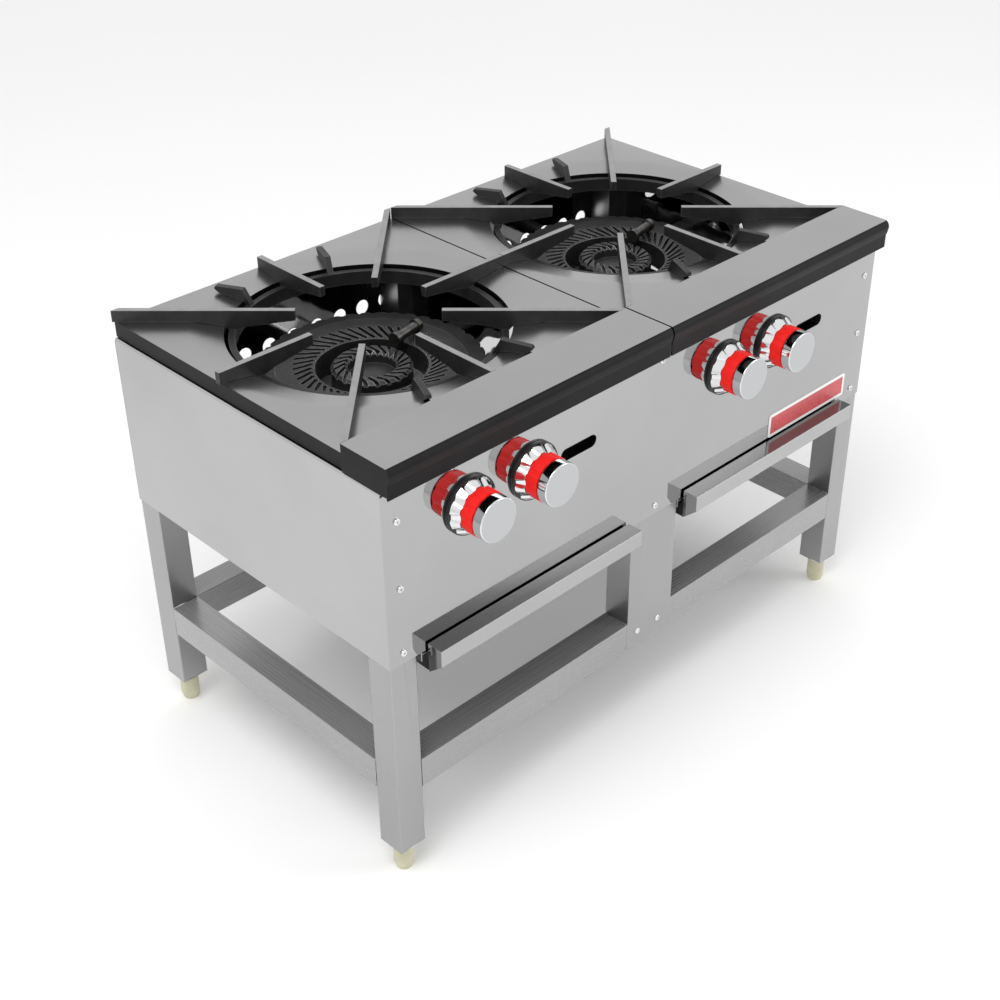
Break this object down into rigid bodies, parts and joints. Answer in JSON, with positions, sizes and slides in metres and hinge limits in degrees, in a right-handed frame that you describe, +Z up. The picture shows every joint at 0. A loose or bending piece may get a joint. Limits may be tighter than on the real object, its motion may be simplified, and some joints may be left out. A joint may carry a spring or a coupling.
{
  "type": "stock pot range",
  "caption": "Free-standing gas stock pot range on a tube stand: cast ring burners under lift-off star grates, pull-out drip trays and knob-turned valves.",
  "frame": {"origin": "on the floor, under the middle of the whole range", "axes": "+X to the right as the cook faces the knobs, +Y to the back, +Z up"},
  "size_m": [0.914, 0.556, 0.617],
  "materials": {
    "stainless_frame": "satin",
    "stainless_sheet": "polished",
    "stainless_plate": "satin",
    "ivory_nylon": "satin",
    "red_label": "gloss",
    "screw_steel": "polished",
    "dark_steel": "satin",
    "pipe_steel": "satin",
    "valve_brass": "satin",
    "tube_aluminium": "satin",
    "galvanised_steel": "spangled satin",
    "black_plastic": "satin",
    "black_iron": "sand-cast, seasoned black",
    "pilot_steel": "heat-stained",
    "black_enamel": "vitreous enamel, gloss",
    "knob_chrome": "polished",
    "knob_red": "gloss"
  },
  "bodies": {
    "range_body": {"back_panel": "stainless_sheet", "burner_bars": "dark_steel", "burner_hub_left": "black_iron", "burner_hub_right": "black_iron", "burner_ring_left": "black_iron", "burner_ring_right": "black_iron", "divider_panel": "stainless_sheet", "feet": "ivory_nylon", "front_panel": "stainless_sheet", "gas_inlet": "pipe_steel", "gas_manifold": "pipe_steel", "gas_valves": "valve_brass", "knob_bezels": "black_plastic", "label_plate": "red_label", "leg_front_left": "stainless_frame", "leg_front_right": "stainless_frame", "leg_rear_left": "stainless_frame", "leg_rear_right": "stainless_frame", "mixer_tubes_left": "black_iron", "mixer_tubes_right": "black_iron", "panel_screws": "screw_steel", "pilot_burner_left": "pilot_steel", "pilot_burner_right": "pilot_steel", "pilot_tubes": "tube_aluminium", "plate_frame": "stainless_frame", "plate_pads": "stainless_frame", "post_middle": "stainless_frame", "post_rear": "stainless_frame", "rail_front_left": "stainless_frame", "rail_front_right": "stainless_frame", "rail_left": "stainless_frame", "rail_rear": "stainless_frame", "rail_right": "stainless_frame", "side_panel_left": "stainless_sheet", "side_panel_right": "stainless_sheet", "tray_runners": "galvanised_steel"},
    "shutter_left_inner_body": {"air_shutter_left_inner": "galvanised_steel"},
    "shutter_left_outer_body": {"air_shutter_left_outer": "galvanised_steel"},
    "shutter_right_inner_body": {"air_shutter_right_inner": "galvanised_steel"},
    "shutter_right_outer_body": {"air_shutter_right_outer": "galvanised_steel"},
    "tray_left_body": {"drip_tray_left": "black_enamel", "tray_handle_left": "stainless_sheet"},
    "tray_right_body": {"drip_tray_right": "black_enamel", "tray_handle_right": "stainless_sheet"},
    "grate_left_body": {"grate_left": "black_iron"},
    "grate_right_body": {"grate_right": "black_iron"},
    "knob_left_inner_body": {"knob_band_left_inner": "knob_red", "knob_left_inner": "knob_chrome", "valve_stem_left_inner": "valve_brass"},
    "knob_left_outer_body": {"knob_band_left_outer": "knob_red", "knob_left_outer": "knob_chrome", "valve_stem_left_outer": "valve_brass"},
    "knob_right_inner_body": {"knob_band_right_inner": "knob_red", "knob_right_inner": "knob_chrome", "valve_stem_right_inner": "valve_brass"},
    "knob_right_outer_body": {"knob_band_right_outer": "knob_red", "knob_right_outer": "knob_chrome", "valve_stem_right_outer": "valve_brass"},
    "plate_left_body": {"top_plate_left": "stainless_plate"},
    "plate_right_body": {"top_plate_right": "stainless_plate"}
  },
  "joints": [
    {"name": "plate_left_lift", "type": "slide", "parent": "range_body", "child": "plate_left_body", "axis": [0, 0, 1], "range_m": [0, 0.1]},
    {"name": "grate_left_lift", "type": "slide", "parent": "plate_left_body", "child": "grate_left_body", "axis": [0, 0, 1], "range_m": [0, 0.15]},
    {"name": "tray_left_slide", "type": "slide", "parent": "range_body", "child": "tray_left_body", "axis": [0, -1, 0], "range_m": [0, 0.4]},
    {"name": "plate_right_lift", "type": "slide", "parent": "range_body", "child": "plate_right_body", "axis": [0, 0, 1], "range_m": [0, 0.1]},
    {"name": "grate_right_lift", "type": "slide", "parent": "plate_right_body", "child": "grate_right_body", "axis": [0, 0, 1], "range_m": [0, 0.15]},
    {"name": "tray_right_slide", "type": "slide", "parent": "range_body", "child": "tray_right_body", "axis": [0, -1, 0], "range_m": [0, 0.4]},
    {"name": "knob_left_outer_turn", "type": "hinge", "parent": "range_body", "child": "knob_left_outer_body", "pos_m": [-0.3285, -0.23, 0.5085], "axis": [0, -1, 0], "range_deg": [0, 90]},
    {"name": "knob_left_inner_turn", "type": "hinge", "parent": "range_body", "child": "knob_left_inner_body", "pos_m": [-0.2265, -0.23, 0.5085], "axis": [0, -1, 0], "range_deg": [0, 90]},
    {"name": "knob_right_outer_turn", "type": "hinge", "parent": "range_body", "child": "knob_right_outer_body", "pos_m": [0.1285, -0.23, 0.5085], "axis": [0, -1, 0], "range_deg": [0, 90]},
    {"name": "knob_right_inner_turn", "type": "hinge", "parent": "range_body", "child": "knob_right_inner_body", "pos_m": [0.2305, -0.23, 0.5085], "axis": [0, -1, 0], "range_deg": [0, 90]},
    {"name": "shutter_left_outer_turn", "type": "hinge", "parent": "range_body", "child": "shutter_left_outer_body", "pos_m": [-0.3285, -0.123, 0.4845], "axis": [0, 1, 0], "range_deg": [0, 60]},
    {"name": "shutter_left_inner_turn", "type": "hinge", "parent": "range_body", "child": "shutter_left_inner_body", "pos_m": [-0.2265, -0.123, 0.4845], "axis": [0, 1, 0], "range_deg": [0, 60]},
    {"name": "shutter_right_outer_turn", "type": "hinge", "parent": "range_body", "child": "shutter_right_outer_body", "pos_m": [0.1285, -0.123, 0.4845], "axis": [0, 1, 0], "range_deg": [0, 60]},
    {"name": "shutter_right_inner_turn", "type": "hinge", "parent": "range_body", "child": "shutter_right_inner_body", "pos_m": [0.2305, -0.123, 0.4845], "axis": [0, 1, 0], "range_deg": [0, 60]}
  ]
}
